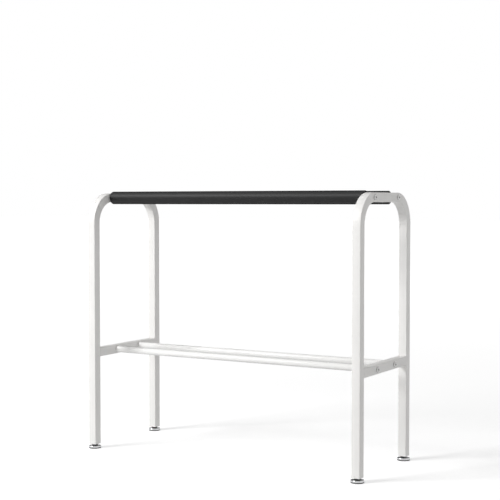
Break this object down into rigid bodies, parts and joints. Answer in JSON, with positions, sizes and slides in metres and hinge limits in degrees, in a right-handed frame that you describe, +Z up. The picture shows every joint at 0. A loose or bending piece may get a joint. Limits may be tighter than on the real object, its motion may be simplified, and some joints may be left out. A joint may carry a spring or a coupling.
{
  "type": "racket display stand",
  "caption": "Floor stand of bent white tube hoops joined by padded bars, whose slot holds rackets by the throat, over round lower rails, on levelling feet.",
  "frame": {"origin": "on the floor, under the middle of the stand", "axes": "+X along the bars to the right hoop, +Y from the front to the rear, +Z up"},
  "size_m": [0.692, 0.267, 0.5885],
  "materials": {
    "powder_coat": "satin",
    "gloss_enamel": "gloss",
    "foam_rubber": "matte",
    "bare_steel": "satin",
    "black_steel": "satin",
    "bolt_steel": "satin",
    "white_plastic": "satin",
    "chrome": "polished",
    "dark_plastic": "matte"
  },
  "bodies": {
    "frame": {"left_hoop": "powder_coat", "right_hoop": "powder_coat", "left_cross_rail": "powder_coat", "right_cross_rail": "powder_coat", "front_bar_tube": "bare_steel", "rear_bar_tube": "bare_steel", "front_bar_sleeve": "foam_rubber", "rear_bar_sleeve": "foam_rubber", "front_bar_plug_left": "bare_steel", "front_bar_plug_right": "bare_steel", "rear_bar_plug_left": "bare_steel", "rear_bar_plug_right": "bare_steel", "front_bar_bolt_left": "bolt_steel", "front_bar_bolt_right": "bolt_steel", "rear_bar_bolt_left": "bolt_steel", "rear_bar_bolt_right": "bolt_steel", "front_rail": "gloss_enamel", "rear_rail": "gloss_enamel", "front_rail_plug_left": "bare_steel", "front_rail_plug_right": "bare_steel", "rear_rail_plug_left": "bare_steel", "rear_rail_plug_right": "bare_steel", "front_rail_bolt_left": "bolt_steel", "front_rail_bolt_right": "bolt_steel", "rear_rail_bolt_left": "bolt_steel", "rear_rail_bolt_right": "bolt_steel", "leg_insert_front_left": "white_plastic", "leg_insert_front_right": "white_plastic", "leg_insert_rear_left": "white_plastic", "leg_insert_rear_right": "white_plastic", "foot_bush_front_left": "bare_steel", "foot_bush_front_right": "bare_steel", "foot_bush_rear_left": "bare_steel", "foot_bush_rear_right": "bare_steel"},
    "glide_front_left": {"foot_cap_front_left": "chrome", "foot_pad_front_left": "dark_plastic"},
    "glide_front_right": {"foot_cap_front_right": "chrome", "foot_pad_front_right": "dark_plastic"},
    "glide_rear_left": {"foot_cap_rear_left": "chrome", "foot_pad_rear_left": "dark_plastic"},
    "glide_rear_right": {"foot_cap_rear_right": "chrome", "foot_pad_rear_right": "dark_plastic"},
    "stem_front_left": {"foot_stem_front_left": "black_steel"},
    "stem_front_right": {"foot_stem_front_right": "black_steel"},
    "stem_rear_left": {"foot_stem_rear_left": "black_steel"},
    "stem_rear_right": {"foot_stem_rear_right": "black_steel"}
  },
  "joints": [
    {"name": "travel_front_left", "type": "slide", "parent": "frame", "child": "glide_front_left", "axis": [0, 0, -1], "range_m": [0, 0.01]},
    {"name": "travel_front_right", "type": "slide", "parent": "frame", "child": "glide_front_right", "axis": [0, 0, -1], "range_m": [0, 0.01]},
    {"name": "travel_rear_left", "type": "slide", "parent": "frame", "child": "glide_rear_left", "axis": [0, 0, -1], "range_m": [0, 0.01]},
    {"name": "travel_rear_right", "type": "slide", "parent": "frame", "child": "glide_rear_right", "axis": [0, 0, -1], "range_m": [0, 0.01]},
    {"name": "turn_front_left", "type": "hinge", "parent": "glide_front_left", "child": "stem_front_left", "pos_m": [-0.3315, -0.119, 0.004], "axis": [0, 0, -1], "range_deg": [0, 2880]},
    {"name": "turn_front_right", "type": "hinge", "parent": "glide_front_right", "child": "stem_front_right", "pos_m": [0.3315, -0.119, 0.004], "axis": [0, 0, -1], "range_deg": [0, 2880]},
    {"name": "turn_rear_left", "type": "hinge", "parent": "glide_rear_left", "child": "stem_rear_left", "pos_m": [-0.3315, 0.119, 0.004], "axis": [0, 0, -1], "range_deg": [0, 2880]},
    {"name": "turn_rear_right", "type": "hinge", "parent": "glide_rear_right", "child": "stem_rear_right", "pos_m": [0.3315, 0.119, 0.004], "axis": [0, 0, -1], "range_deg": [0, 2880]}
  ],
  "couplings": [
    {"joint": "turn_front_left", "follows": "travel_front_left", "rad_per_m": 5026.5},
    {"joint": "turn_front_right", "follows": "travel_front_right", "rad_per_m": 5026.5},
    {"joint": "turn_rear_left", "follows": "travel_rear_left", "rad_per_m": 5026.5},
    {"joint": "turn_rear_right", "follows": "travel_rear_right", "rad_per_m": 5026.5}
  ]
}
